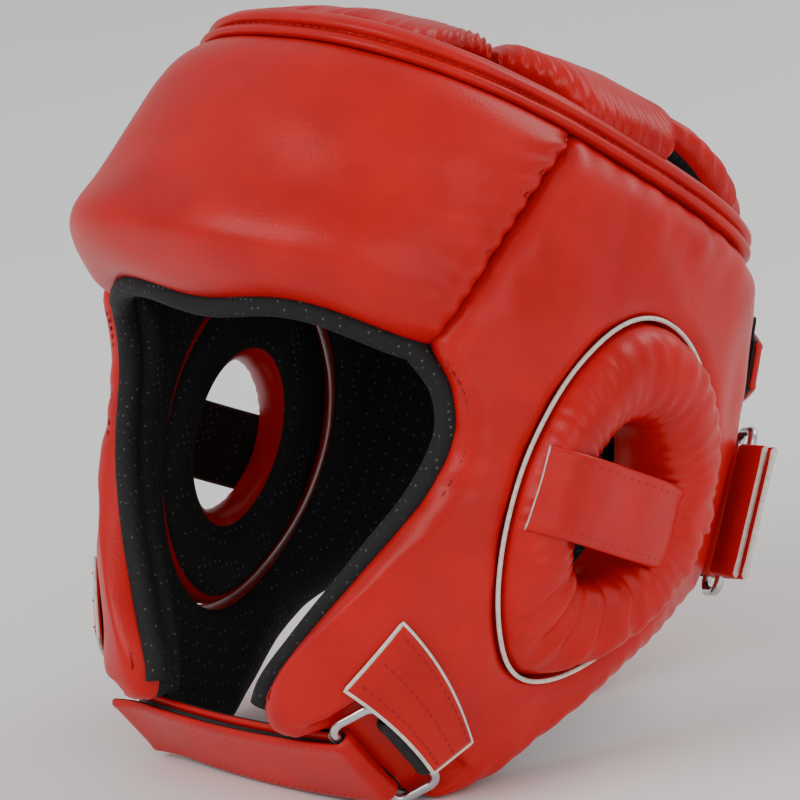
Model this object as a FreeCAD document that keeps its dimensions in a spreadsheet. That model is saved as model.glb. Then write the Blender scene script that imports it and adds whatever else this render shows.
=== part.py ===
import FreeCAD, Part
import Sketcher
import math
import os

# Open-face boxing headgear for a junior head.  Each padded panel is a leatherette cover, a
# foam core and a mesh lining.  Everything is drawn in the head frame (x to the wearer's left,
# y to the back, z up the head axis) and then reclined to the pose in which the headgear
# stands by itself on its two cheek lobes and its neck roll.

Vector = FreeCAD.Vector
doc = FreeCAD.newDocument("Headgear")

# ---------------------------------------------------------------- driving dimensions (mm)
sheet = doc.addObject("Spreadsheet::Sheet", "Dimensions")
DIMENSIONS = {
    "recline": 26.0,
    "base_level": -140.0,
    "centre_shift": -13.76,
    "cover_thickness": 2.0,
    "foam_thickness": 15.0,
    "lining_thickness": 2.0,
    "binding_width": 3.0,
    "band_height": 9.0,
    "band_thickness": 9.0,
    "crown_cover": 2.0,
    "crown_foam": 12.0,
    "ear_pad_proud": 8.0,
    "ear_ring_width": 28.0,
    "ear_strap_width": 27.0,
    "webbing": 2.2,
    "hook_tape": 0.8,
    "tape_gap": 0.3,
    "chin_strap_width": 30.0,
    "chin_strap_length": 104.0,
    "chin_strap_sag": 3.0,
    "ring_wire_radius": 1.6,
    "ring_corner": 4.0,
    "ring_play": 0.1,
    "chin_ring_span": 16.0,
    "chin_ring_length": 32.0,
    "rear_ring_span": 15.0,
    "rear_ring_length": 46.0,
    "rear_strap_width": 44.0,
    "upper_strap_width": 34.0,
    "rear_gap": 36.0,
    "neck_pad_width": 60.0,
    "neck_pad_thickness": 11.0,
}
for row, (alias, value) in enumerate(DIMENSIONS.items(), start=1):
    sheet.set("A%d" % row, alias)
    sheet.set("B%d" % row, str(value))
    sheet.setAlias("B%d" % row, alias)
doc.recompute()


def size(alias):
    """The value of one cell of the sheet."""
    return float(sheet.get(alias))


RECLINED = FreeCAD.Placement(
    Vector(0, size("centre_shift"), -size("base_level")), FreeCAD.Rotation(Vector(1, 0, 0), -size("recline"))
)
nodes = []


def keep(obj, name):
    """Gives a finished sub-part its name and leaves it on the list to be written."""
    obj.Label = name
    nodes.append(obj)
    return obj


def free_form(name, shape):
    """A padded or sewn piece whose shape follows the head, reclined to the standing pose."""
    obj = doc.addObject("Part::Feature", name)
    obj.Shape = shape
    obj.Placement = RECLINED
    return keep(obj, name)


# ---------------------------------------------------------------- the head surface
FRONT_POWER = 2.3
REAR_POWER = 2.8
# height, half width, depth to the front, depth to the back
SHELL_SECTIONS = [
    (84, 68, 72, 92),
    (62, 81, 85, 105),
    (45, 88, 93, 112),
    (20, 93, 100, 115),
    (0, 95, 103, 116),
    (-14, 95, 92, 117),
    (-36, 95, 77, 117),
    (-64, 93, 66, 116),
    (-97, 85, 58, 106),
    (-120, 76, 54, 92),
    (-158, 60, 46, 68),
]
CROWN_SECTIONS = [
    (91.5, 30, 32, 38),
    (88, 50, 54, 64),
    (82, 66, 70, 86),
    (72, 77, 82, 100),
    (60, 83, 88, 108),
    (30, 86, 92, 111),
]
SECTION_POINTS = 20


def section(height, half_width, front, back):
    """A closed egg-shaped curve round the head, blunter at the back than at the front."""
    points = []
    for step in range(SECTION_POINTS):
        angle = 2 * math.pi * step / SECTION_POINTS
        across, along = math.sin(angle), -math.cos(angle)
        power = FRONT_POWER if along < 0 else REAR_POWER
        depth = front if along < 0 else back
        x = math.copysign(abs(across) ** (2 / power), across) * half_width
        y = math.copysign(abs(along) ** (2 / power), along) * depth
        points.append(Vector(x, y, height))
    curve = Part.BSplineCurve()
    curve.interpolate(points, PeriodicFlag=True)
    return Part.Wire([curve.toShape()])


def loft(sections, inset, drop=0.0):
    """The solid inside the surface that lies inset below the given sections."""
    wires = [section(z - drop, a - inset, f - inset, b - inset) for z, a, f, b in sections]
    return Part.makeLoft(wires[::-1], True)


made = {}


def skin(inset):
    """The head solid at a depth below the outside of the side panels; negative is proud."""
    if inset not in made:
        made[inset] = loft(SHELL_SECTIONS, inset)
    return made[inset]


def layer(outer, inner, zone=None):
    """The wall between two depths, or the part of it that lies in a zone."""
    whole = skin(outer) if zone is None else skin(outer).common(zone)
    return whole.cut(skin(inner))


def prism(points, direction):
    """A straight block with a polygonal outline."""
    outline = Part.makePolygon([Vector(*p) for p in points] + [Vector(*points[0])])
    return Part.Face(outline).extrude(Vector(*direction))


def smooth_prism(edges, direction):
    """A straight block whose outline is made of ready edges."""
    return Part.Face(Part.Wire(edges)).extrude(Vector(*direction))


def block(x0, x1, y0, y1, z0, z1):
    return Part.makeBox(x1 - x0, y1 - y0, z1 - z0, Vector(x0, y0, z0))


def mirrored(shape):
    return shape.mirror(Vector(0, 0, 0), Vector(1, 0, 0))


FAR = 200.0

# The standing plane, in the head frame: everything below it is cut away.
tilt = math.radians(size("recline"))
BELOW_BASE = Part.makeBox(2 * FAR, 2 * FAR, FAR, Vector(-FAR, -FAR, -FAR))
BELOW_BASE.Placement = RECLINED.inverse()

# ---------------------------------------------------------------- cutting tools of the panels
EDGE_AT_EAR = 56.5
EDGE_SLOPE = 0.15


def above_edge(lift):
    """Everything above the sloping top edge of the panels, raised by lift."""
    front = EDGE_AT_EAR + EDGE_SLOPE * FAR + lift
    rear = EDGE_AT_EAR - EDGE_SLOPE * FAR + lift
    side = [(-FAR, -FAR, front), (-FAR, FAR, rear), (-FAR, FAR, FAR), (-FAR, -FAR, FAR)]
    return prism(side, (2 * FAR, 0, 0))


def face_opening(grow):
    """The block that cuts the face opening, wider than the clear opening by grow."""
    half = [
        (0, -17), (46, -15), (66, -13), (75, -16), (79, -25), (79, -37), (76, -49),
        (70, -64), (62, -79), (53, -96), (43, -113), (35, -127), (33, -136),
    ]
    right = [Vector(x + grow, -FAR, z + grow * (1 if z > -20 else 0)) for x, z in half]
    right[0].x = 0
    left = [Vector(-p.x, p.y, p.z) for p in right[:0:-1]]
    curve = Part.BSplineCurve()
    curve.interpolate(left + right)
    feet = [curve.EndPoint, Vector(33 + grow, -FAR, -FAR), Vector(-33 - grow, -FAR, -FAR),
            curve.StartPoint]
    legs = [Part.LineSegment(feet[i], feet[i + 1]).toShape() for i in range(3)]
    return smooth_prism([curve.toShape()] + legs, (0, FAR - 2, 0))


def below_rim():
    """Everything under the lower rim, from the cheek lobes up to the nape."""
    rim = [
        (-90, -118), (-62, -137), (-41, -144), (-15, -151), (0, -154), (16, -151),
        (30, -143), (42, -127), (53, -112), (65, -99), (78, -87), (90, -74), (104, -65), (125, -62),
    ]
    curve = Part.BSplineCurve()
    curve.interpolate([Vector(-FAR, y, z) for y, z in rim])
    feet = [curve.EndPoint, Vector(-FAR, 125, -FAR), Vector(-FAR, -90, -FAR), curve.StartPoint]
    legs = [Part.LineSegment(feet[i], feet[i + 1]).toShape() for i in range(3)]
    return smooth_prism([curve.toShape()] + legs, (2 * FAR, 0, 0))


EAR_Y, EAR_Z = 21.0, -48.0
EAR_HALF_WIDTH, EAR_HALF_HEIGHT = 41.0, 59.0
EAR_LEAN = 6.0


def ear_oval(inset):
    """The oval block of the ear cut-out on the wearer's left, leaning back at the top."""
    oval = Part.Ellipse(Vector(0, 0, 0), EAR_HALF_HEIGHT - inset, EAR_HALF_WIDTH - inset)
    face = Part.Face(Part.Wire([oval.toShape()]))
    face.rotate(Vector(0, 0, 0), Vector(0, 0, 1), 90 - EAR_LEAN)
    face.rotate(Vector(0, 0, 0), Vector(1, 1, 1), 120)
    face.translate(Vector(40, EAR_Y, EAR_Z))
    return face.extrude(Vector(FAR, 0, 0))


opening = face_opening(0)
opening_with_binding = face_opening(size("binding_width"))
under = below_rim().fuse(BELOW_BASE)
ear_hole_left = ear_oval(0)
half_gap = size("rear_gap") / 2
rear_slot = block(-half_gap, half_gap, 40, FAR, -FAR, FAR)
above = above_edge(0)

# The forehead panel meets each side panel along a seam that slopes down to the temple.
SEAM = [(-16, FAR), (-16, 64), (-32, 43), (-44, 21), (-52, 4), (-57, -14), (-57, -40), (-FAR, -40),
        (-FAR, FAR)]
forehead_zone = prism([(-FAR, y, z) for y, z in SEAM], (2 * FAR, 0, 0))

cover_in = size("cover_thickness")
foam_in = cover_in + size("foam_thickness")
lining_in = foam_in + size("lining_thickness")
LAYERS = {"cover": (0, cover_in), "foam": (cover_in, foam_in), "lining": (foam_in, lining_in)}

# ---------------------------------------------------------------- room for the chin strap
# A strap's own frame has X along the strap away from the ring, Y out of the head and Z across
# the strap's width; the ring's strap bar lies on Z.


def local_frame(origin, along, outward):
    """The placement of a strap's own frame in the head frame, then reclined."""
    x, y = Vector(*along).normalize(), Vector(*outward).normalize()
    y = (y - x * x.dot(y)).normalize()
    return RECLINED * FreeCAD.Placement(Vector(*origin), FreeCAD.Rotation(x, y, x.cross(y), "XYZ"))


CHIN_BAR = (50.3, -15.5, -145.0)
CHIN_RING_TURN = 225.0
chin_frame = local_frame(CHIN_BAR, (-1, 0, 0), (0, -0.435, -0.9))


def chin_room(turn, x0, x1, low, high, half_width):
    """Clear room in a cheek for the strap or its ring, drawn in the strap's frame."""
    room = block(x0, x1, low, high, -half_width, half_width)
    spin = FreeCAD.Placement(Vector(0, 0, 0), FreeCAD.Rotation(Vector(0, 0, 1), turn))
    room.Placement = RECLINED.inverse() * chin_frame * spin
    return room


strap_room = chin_room(0, -8, 112, -2.9, FAR, 16)
ring_room = chin_room(CHIN_RING_TURN, -10, 40, -FAR, 4.6, 23)
chin_rooms = strap_room.fuse(ring_room).fuse(mirrored(strap_room)).fuse(mirrored(ring_room))

# ---------------------------------------------------------------- forehead and side panels
under = under.fuse(chin_rooms)
for kind, (outer, inner) in LAYERS.items():
    wall = layer(outer, inner).cut(above).cut(opening_with_binding).cut(under).cut(rear_slot)
    free_form("forehead_" + kind, wall.common(forehead_zone))
    side = wall.cut(forehead_zone).common(block(0, FAR, -FAR, FAR, -FAR, FAR)).cut(ear_hole_left)
    free_form("side_%s_left" % kind, side)
    free_form("side_%s_right" % kind, mirrored(side))

binding = layer(cover_in, lining_in, opening_with_binding.cut(opening))
binding = binding.cut(under).cut(above).cut(ear_hole_left).cut(mirrored(ear_hole_left))
free_form("opening_binding", binding)

band_top = size("band_height")
band = layer(1, 1 + size("band_thickness"), above.cut(above_edge(band_top)))
free_form("top_band", band)

# ---------------------------------------------------------------- crown pads
CROWN_CENTRE = (0, 12)
GAP_HALF_LENGTH, GAP_DEPTH = 33.0, 32.0
GAP_ANGLES = (56.0, 128.0)
PATCH_RADIUS = 15.0


def crown(inset):
    return loft(CROWN_SECTIONS, inset, inset)


def towards(angle, distance):
    """A plan position seen from the crown's centre; angle 0 is the front, 90 the left."""
    turn = math.radians(angle)
    return (CROWN_CENTRE[0] + math.sin(turn) * distance, CROWN_CENTRE[1] - math.cos(turn) * distance)


def crown_gap(angle):
    """The lens-shaped opening between two crown pads, at the band."""
    rim = 88 if abs(angle) < 90 else 98
    x, y = towards(angle, rim)
    lens = Part.Ellipse(Vector(0, 0, 0), GAP_HALF_LENGTH, GAP_DEPTH)
    face = Part.Face(Part.Wire([lens.toShape()]))
    face.rotate(Vector(0, 0, 0), Vector(0, 0, 1), angle)
    face.translate(Vector(x, y, 0))
    return face.extrude(Vector(0, 0, FAR))


gaps = [crown_gap(sign * angle) for angle in GAP_ANGLES for sign in (1, -1)]
above_band = above_edge(band_top)
patch_hole = Part.makeCylinder(PATCH_RADIUS, FAR, Vector(CROWN_CENTRE[0], CROWN_CENTRE[1], 0))
CROWN_SECTORS = {"front": (-56, 56), "left": (56, 128), "rear": (128, 232), "right": (232, 304)}
crown_layers = {"cover": (0, size("crown_cover")),
                "foam": (size("crown_cover"), size("crown_cover") + size("crown_foam"))}
for side, (start, end) in CROWN_SECTORS.items():
    corners = [CROWN_CENTRE] + [towards(a, FAR) for a in (start, (start + end) / 2, end)]
    wedge = prism([(x, y, 0) for x, y in corners], (0, 0, FAR)).common(above_band).cut(patch_hole)
    for gap in gaps:
        wedge = wedge.cut(gap)
    for kind, (outer, inner) in crown_layers.items():
        pad = wedge.common(crown(outer)).cut(crown(inner))
        free_form("crown_%s_%s" % (side, kind), pad)

patch = doc.addObject("Part::Cylinder", "crown_patch")
patch.setExpression("Height", "Dimensions.crown_cover + Dimensions.crown_foam / 2")
patch.Radius = PATCH_RADIUS - 0.2
PATCH_LEVEL = 84.0
patch.Placement = RECLINED * FreeCAD.Placement(
    Vector(CROWN_CENTRE[0], CROWN_CENTRE[1], PATCH_LEVEL), FreeCAD.Rotation())
keep(patch, "crown_patch")

# ---------------------------------------------------------------- ears
proud = size("ear_pad_proud")
CLEARANCE = 0.3
ear_ring = ear_oval(CLEARANCE).cut(ear_oval(size("ear_ring_width")))
EAR_LAYERS = {
    "cover": (-proud, cover_in - proud),
    "foam": (cover_in - proud, foam_in),
    "lining": (foam_in, lining_in),
}
for kind, (outer, inner) in EAR_LAYERS.items():
    pad = layer(outer, inner, ear_ring)
    free_form("ear_pad_%s_left" % kind, pad)
    free_form("ear_pad_%s_right" % kind, mirrored(pad))

STRAP_TOP = -37.0
STRAP_FRONT, STRAP_REAR = -22.0, 66.0
strap_zone = block(0, FAR, STRAP_FRONT, STRAP_REAR, STRAP_TOP - size("ear_strap_width"), STRAP_TOP)
ear_strap = layer(-proud - CLEARANCE - size("webbing"), -proud - CLEARANCE, strap_zone)
free_form("ear_strap_left", ear_strap)
free_form("ear_strap_right", mirrored(ear_strap))

# ---------------------------------------------------------------- neck roll
half_neck = size("neck_pad_width") / 2
NECK_TOP, NAPE = 34.0, -67.0
neck_zone = block(-half_neck, half_neck, 30, FAR, -FAR, NECK_TOP)
tongue_out = lining_in + CLEARANCE
tongue_in = tongue_out + size("neck_pad_thickness")
tongue = layer(tongue_out, tongue_in, neck_zone.cut(BELOW_BASE))
free_form("neck_tongue", tongue)
roll_zone = block(-half_neck, half_neck, 30, FAR, -FAR, NAPE)
free_form("neck_roll", layer(4, tongue_out, roll_zone.common(below_rim()).cut(BELOW_BASE)))

# ---------------------------------------------------------------- slotted rings and their loops
wire_r = size("ring_wire_radius")


def origin_plane(body, role):
    return [f for f in body.Origin.OriginFeatures if f.Role == role][0]


def sketch_on(body, role, name):
    """A sketch attached to one of its own body's origin planes."""
    sketch = body.newObject("Sketcher::SketchObject", name)
    sketch.AttachmentSupport = (origin_plane(body, role), [""])
    sketch.MapMode = "FlatFace"
    return sketch


def rounded_rectangle(x0, x1, half_length, corner):
    """Lines and tangent quarter circles round a rectangle, in order."""
    edges = []
    centres = [(x1 - corner, half_length - corner, 0), (x0 + corner, half_length - corner, 90),
               (x0 + corner, corner - half_length, 180), (x1 - corner, corner - half_length, 270)]
    ends = []
    for cx, cy, start in centres:
        a, b = math.radians(start), math.radians(start + 90)
        circle = Part.Circle(Vector(cx, cy, 0), Vector(0, 0, 1), corner)
        edges.append(Part.ArcOfCircle(circle, a, b))
        ends.append((circle.value(a), circle.value(b)))
    for i in range(4):
        edges.append(Part.LineSegment(ends[i][1], ends[(i + 1) % 4][0]))
    return edges


def wire_ring(name, placement, span_alias, length_alias, ring_turn):
    """A rectangular ring of round wire, swept round its long and short sides."""
    body = doc.addObject("PartDesign::Body", name)
    path = sketch_on(body, "XZ_Plane", name + "_path")
    corner = size("ring_corner")
    half_length = size(length_alias) / 2 + corner
    for edge in rounded_rectangle(0.0, size(span_alias), half_length, corner):
        path.addGeometry(edge, False)
    wire = sketch_on(body, "XY_Plane", name + "_wire")
    wire.addGeometry(Part.Circle(Vector(0, 0, 0), Vector(0, 0, 1), wire_r), False)
    wire.addConstraint(Sketcher.Constraint("Coincident", 0, 3, -1, 1))
    wire.addConstraint(Sketcher.Constraint("Radius", 0, wire_r))
    wire.setExpression("Constraints[1]", "Dimensions.ring_wire_radius")
    pipe = body.newObject("PartDesign::AdditivePipe", name + "_sweep")
    pipe.Profile = wire
    pipe.Spine = (path, [])
    body.Tip = pipe
    body.Placement = placement * FreeCAD.Placement(
        Vector(0, 0, 0), FreeCAD.Rotation(Vector(0, 0, 1), ring_turn))
    return keep(body, name)


def sketched_strip(name, placement, edges, width_alias):
    """A strap drawn edge on in a sketch and padded to its width, half to each side."""
    body = doc.addObject("PartDesign::Body", name)
    sketch = sketch_on(body, "XY_Plane", name + "_edge")
    for edge in edges:
        sketch.addGeometry(edge, False)
    pad = body.newObject("PartDesign::Pad", name + "_width")
    pad.Profile = sketch
    pad.Midplane = True
    pad.setExpression("Length", "Dimensions." + width_alias)
    body.Tip = pad
    body.Placement = placement
    return keep(body, name)


loop_in = wire_r + size("ring_play")
loop_out = loop_in + size("webbing")


def bowed(start, end, level, sag):
    """An arc along a strap at a level above its bar, bowed outwards by sag half way."""
    middle = Vector((start + end) / 2, level + sag, 0)
    return Part.Arc(Vector(start, level, 0), middle, Vector(end, level, 0))


def strip_edges(start, end, low, high, sag):
    """The outline of a bowed strip between two levels."""
    return [
        bowed(start, end, low, sag),
        Part.LineSegment(Vector(end, low, 0), Vector(end, high, 0)),
        bowed(start, end, high, sag),
        Part.LineSegment(Vector(start, high, 0), Vector(start, low, 0)),
    ]


def looped_flap_edges(end, sag):
    """A strap end that wraps its ring bar and lies back along the strap."""
    hub = Vector(0, 0, 0)
    outer = Part.Circle(hub, Vector(0, 0, 1), loop_out)
    tip_low, tip_high = Vector(end, loop_in, 0), Vector(end, loop_out, 0)
    lower = Part.Arc(Vector(0, loop_in, 0), Vector(end / 2, loop_in + sag, 0), tip_low)
    upper = Part.Arc(Vector(0, loop_out, 0), Vector(end / 2, loop_out + sag, 0), tip_high)
    low_turn = math.radians(-70)
    heel_in = Vector(loop_in * math.cos(low_turn), loop_in * math.sin(low_turn), 0)
    heel_out = Vector(loop_out * math.cos(low_turn), loop_out * math.sin(low_turn), 0)
    bend_in = Part.Arc(Vector(0, loop_in, 0), Vector(-loop_in, 0, 0), heel_in)
    bend_out = Part.Arc(Vector(0, loop_out, 0), Vector(-loop_out, 0, 0), heel_out)
    return [lower, Part.LineSegment(tip_low, tip_high), upper, bend_out,
            Part.LineSegment(heel_out, heel_in), bend_in]


# ---------------------------------------------------------------- chin strap
wire_ring("chin_ring", chin_frame, "chin_ring_span", "chin_ring_length", CHIN_RING_TURN)

sag = size("chin_strap_sag")
flap_end = size("chin_strap_length")
tape, tape_gap = size("hook_tape"), size("tape_gap")
hook_low = loop_in - tape
loop_tape_high = hook_low - tape_gap
run_high = loop_tape_high - tape
run_low = run_high - size("webbing")
RUN_END = 99.0
TAPE_END = 96.0


def part_sag(start, end):
    """How far the middle of a shorter strip bows, so that it keeps the strap's curve."""
    return sag * ((end - start) / flap_end) ** 2


def lift_at(start, end):
    """The strap's own height where a shorter strip begins, on the same bow."""
    half = flap_end / 2
    off_centre = max(abs(start - half), abs(end - half))
    return sag * (1 - (off_centre / half) ** 2)


def strap_strip(name, start, end, low, high):
    rise = lift_at(start, end)
    edges = strip_edges(start, end, low + rise, high + rise, part_sag(start, end))
    return sketched_strip(name, chin_frame, edges, "chin_strap_width")


strap_strip("chin_strap_run", flap_end - RUN_END, RUN_END, run_low, run_high)
strap_strip("chin_loop_tape", flap_end - TAPE_END, TAPE_END, run_high, loop_tape_high)
strap_strip("chin_hook_tape", flap_end - TAPE_END, TAPE_END, hook_low, loop_in)
sketched_strip("chin_flap", chin_frame, looped_flap_edges(flap_end, sag), "chin_strap_width")

# The tab that is stitched to the wearer's left cheek, and the patch that holds the strap's
# sewn end on the right one.
TAB_OUTLINE = [(-35, -100), (6, -131), (-4, -142), (-39, -124)]
TAB_OUT, TAB_IN = -2.5, -0.3
tab_zone = prism([(0, y, z) for y, z in TAB_OUTLINE], (FAR, 0, 0)).cut(BELOW_BASE)
tab = layer(TAB_OUT, TAB_IN, tab_zone)
TAB_START = size("chin_ring_span") + wire_r + 1.0
left_tab = tab.cut(chin_room(CHIN_RING_TURN, -20, TAB_START, -FAR, FAR, 22.4))
LOOP_REACH, REAR_LOOP_REACH = 8.0, 20.0
CHIN_LOOP_WIDTH = 26.0


def webbing_loop(name, frame, x, width, turn, reach, keep_off):
    """A webbing loop round a ring's anchor bar, with its tail towards the sewn end."""
    tube = Part.makeCylinder(loop_out, width, Vector(0, 0, -width / 2))
    tail = Part.makeBox(reach, 0.9 * size("webbing"), width, Vector(0, 0.1 - loop_out, -width / 2))
    bore = Part.makeCylinder(loop_in, width + 2, Vector(0, 0, -width / 2 - 1))
    shape = tube.fuse(tail).cut(bore)
    spin = FreeCAD.Rotation(Vector(0, 0, 1), turn)
    place = FreeCAD.Placement(spin.multVec(Vector(x, 0, 0)), spin)
    shape.Placement = RECLINED.inverse() * frame * place
    return free_form(name, shape.cut(keep_off))


webbing_loop("chin_loop", chin_frame, size("chin_ring_span"), CHIN_LOOP_WIDTH,
             CHIN_RING_TURN, LOOP_REACH, left_tab)
free_form("chin_tab_left", left_tab)

patch_strip = Part.makeBox(16, size("webbing"), CHIN_LOOP_WIDTH,
                           Vector(2, -3.4, -CHIN_LOOP_WIDTH / 2))
patch_strip.Placement = RECLINED.inverse() * chin_frame * FreeCAD.Placement(
    Vector(0, 0, 0), FreeCAD.Rotation(Vector(0, 0, 1), CHIN_RING_TURN))
right_patch = tab.fuse(patch_strip.cut(skin(TAB_IN)))
free_form("chin_patch_right", mirrored(right_patch).cut(BELOW_BASE))

# ---------------------------------------------------------------- rear straps
BAR_OFFSET = 6.0
REAR_BAR_X, REAR_BAR_Z = 57.0, -36.0


def behind(x, height, offset):
    """How far back the shell's surface, raised by offset, lies at a place left of the middle."""
    row = [s for s in SHELL_SECTIONS if s[0] == height][0]
    across, back = row[1] + offset, row[3] + offset
    return back * (1 - (x / across) ** REAR_POWER) ** (1 / REAR_POWER)


REAR_BAR = (REAR_BAR_X, behind(REAR_BAR_X, REAR_BAR_Z, BAR_OFFSET), REAR_BAR_Z)
REAR_ALONG = (-1, behind(REAR_BAR_X - 1, REAR_BAR_Z, BAR_OFFSET) - REAR_BAR[1], 0)
REAR_OUT = (-REAR_ALONG[1] * REAR_ALONG[0], -REAR_ALONG[0], 0)
REAR_RING_TURN = 187.0
rear_frame = local_frame(REAR_BAR, REAR_ALONG, REAR_OUT)
wire_ring("rear_ring", rear_frame, "rear_ring_span", "rear_ring_length", REAR_RING_TURN)

half_strap = size("rear_strap_width") / 2
strap_levels = (REAR_BAR[2] - half_strap, REAR_BAR[2] + half_strap)
RUN_X = (-74.0, 50.0)
REAR_TAPE_X = (-8.0, 46.0)
FLAP_X = (-14.0, 58.5)


def rear_strip(low, high, x_range, levels):
    """A strap wrapped round the back of the shell, between two heights off its surface."""
    zone = block(x_range[0], x_range[1], 30, FAR, levels[0], levels[1])
    return layer(-high, -low, zone)


flap_low = BAR_OFFSET + loop_in
flap_high = flap_low + size("webbing")
rear_hook_low = flap_low - tape
rear_loop_high = rear_hook_low - tape_gap
rear_loop_low = rear_loop_high - tape
rear_run_low = rear_loop_low - size("webbing")
free_form("rear_strap_run", rear_strip(rear_run_low, rear_loop_low, RUN_X, strap_levels))
free_form("rear_loop_tape", rear_strip(rear_loop_low, rear_loop_high, REAR_TAPE_X, strap_levels))
free_form("rear_hook_tape", rear_strip(rear_hook_low, flap_low, REAR_TAPE_X, strap_levels))

wrap = Part.makeCylinder(loop_out, 2 * half_strap, Vector(0, 0, -half_strap))
wrap = wrap.cut(block(0, loop_out + 1, -loop_out - 1, loop_in, -half_strap, half_strap))
wrap.Placement = RECLINED.inverse() * rear_frame
rear_bore = Part.makeCylinder(loop_in, 2 * half_strap + 2, Vector(0, 0, -half_strap - 1))
rear_bore.Placement = wrap.Placement
rear_plate = rear_strip(flap_low, flap_high, FLAP_X, strap_levels)
free_form("rear_flap", rear_plate.fuse(wrap).cut(rear_bore))

webbing_loop("rear_anchor_loop", rear_frame, size("rear_ring_span"), size("rear_strap_width"),
             REAR_RING_TURN, REAR_LOOP_REACH, skin(-CLEARANCE))

half_upper = size("upper_strap_width") / 2
UPPER_LEVEL = 12.0
upper_levels = (UPPER_LEVEL - half_upper, UPPER_LEVEL + half_upper)
UPPER_ROOT_X = -50.0
upper_out = CLEARANCE + tape
free_form("upper_loop_tape", rear_strip(CLEARANCE, upper_out, (20.0, 62.0), upper_levels))
free_form("upper_hook_tape", rear_strip(upper_out + tape_gap, upper_out + tape_gap + tape,
                                        (22.0, 62.0), upper_levels))
upper_low = upper_out + tape_gap + tape
upper_high = upper_low + size("webbing")
free_form("upper_strap", rear_strip(upper_low, upper_high, (UPPER_ROOT_X + 0.5, 66.0), upper_levels))
free_form("upper_strap_root", rear_strip(CLEARANCE, upper_high, (-76.0, UPPER_ROOT_X), upper_levels))

# ---------------------------------------------------------------- checks and files
doc.recompute()
for obj in doc.Objects:
    bad = [state for state in obj.State if state in ("Invalid", "Error")]
    if bad:
        raise RuntimeError("%s did not build: %s" % (obj.Label, bad))
names = [obj.Label for obj in nodes]
if len(set(names)) != len(names):
    raise RuntimeError("two sub-parts share a name")
for obj in nodes:
    if obj.Shape.isNull() or not obj.Shape.isValid() or not obj.Shape.Solids:
        raise RuntimeError("%s has no valid solid" % obj.Label)
os.makedirs("parts", exist_ok=True)
for obj in nodes:
    obj.Shape.exportStep("parts/%s.step" % obj.Label)
    box = obj.Shape.BoundBox
    print("%-22s solids %d volume %8.0f  x %6.1f %6.1f  y %6.1f %6.1f  z %6.1f %6.1f" % (
        obj.Label, len(obj.Shape.Solids), obj.Shape.Volume,
        box.XMin, box.XMax, box.YMin, box.YMax, box.ZMin, box.ZMax))
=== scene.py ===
import math
import bmesh
import bpy
from mathutils import Matrix, Vector, noise


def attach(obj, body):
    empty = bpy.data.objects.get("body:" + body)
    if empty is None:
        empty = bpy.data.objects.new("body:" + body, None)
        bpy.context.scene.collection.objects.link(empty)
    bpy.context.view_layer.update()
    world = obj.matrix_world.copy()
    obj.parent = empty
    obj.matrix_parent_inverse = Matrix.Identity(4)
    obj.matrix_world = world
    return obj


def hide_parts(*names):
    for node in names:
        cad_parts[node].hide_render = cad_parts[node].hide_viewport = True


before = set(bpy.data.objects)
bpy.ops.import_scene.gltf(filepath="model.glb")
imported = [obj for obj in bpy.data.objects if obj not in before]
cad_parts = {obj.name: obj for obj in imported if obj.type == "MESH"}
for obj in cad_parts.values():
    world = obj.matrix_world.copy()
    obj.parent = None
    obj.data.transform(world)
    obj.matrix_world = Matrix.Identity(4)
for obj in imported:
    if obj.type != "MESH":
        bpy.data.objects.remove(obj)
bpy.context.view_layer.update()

# ---------------------------------------------------------------- forehead panel
# A wide foam pad in red leatherette with a black mesh lining.  It leans back from a brow ridge,
# rolls over into the face opening below and puffs up against the band above, and its two side
# seams are puckered.


def place(p):
    """A point of the head frame in mm, in metres in the shared frame and never under the table."""
    turn = math.radians(26)
    y = p[1] * math.cos(turn) + p[2] * math.sin(turn) - 13.76
    z = -p[1] * math.sin(turn) + p[2] * math.cos(turn) + 140
    return Vector((p[0], y, max(z, 0.3))) / 1000


def smooth(table, key, column):
    """A smooth value between the rows of a table whose first column falls or rises steadily."""
    rows = table if table[0][0] < table[-1][0] else table[::-1]
    key = min(max(key, rows[0][0]), rows[-1][0])
    i = max(k for k in range(len(rows) - 1) if rows[k][0] <= key)

    def slope(k):
        low, high = rows[max(k - 1, 0)], rows[min(k + 1, len(rows) - 1)]
        return (high[column] - low[column]) / (high[0] - low[0])

    step = rows[i + 1][0] - rows[i][0]
    t = (key - rows[i][0]) / step
    return ((2 * t ** 3 - 3 * t ** 2 + 1) * rows[i][column] + (t ** 3 - 2 * t ** 2 + t) * step * slope(i)
            + (3 * t ** 2 - 2 * t ** 3) * rows[i + 1][column] + (t ** 3 - t ** 2) * step * slope(i + 1))


# height, half width, depth to the front, depth to the back
SECTIONS = [(84, 68, 72, 92), (62, 81, 85, 105), (45, 88, 93, 112), (20, 93, 100, 115), (0, 95, 103, 116),
            (-14, 95, 92, 117), (-36, 95, 77, 117), (-64, 93, 66, 116), (-97, 85, 58, 106),
            (-120, 76, 54, 92), (-158, 60, 46, 68)]


def shell(bearing, z, level=0.0):
    """The outside of the head guard at a bearing (0 front, 90 left), raised by level."""
    turn = math.radians(bearing)
    s, c = math.sin(turn), math.cos(turn)
    power, column = (2.3, 2) if c > 0 else (2.8, 3)
    a = smooth(SECTIONS, z, 1) + level
    b = smooth(SECTIONS, z, column) + level
    r = (abs(s / a) ** power + abs(c / b) ** power) ** (-1 / power)
    return Vector((r * s, -r * c, z))


def bearing_at(y, z):
    """The bearing on the wearer's left at which the outside has this y."""
    power, column = (2.3, 2) if y < 0 else (2.8, 3)
    rest = max(1 - (abs(y) / smooth(SECTIONS, z, column)) ** power, 0)
    return math.degrees(math.atan2(smooth(SECTIONS, z, 1) * rest ** (1 / power), -y))


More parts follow.
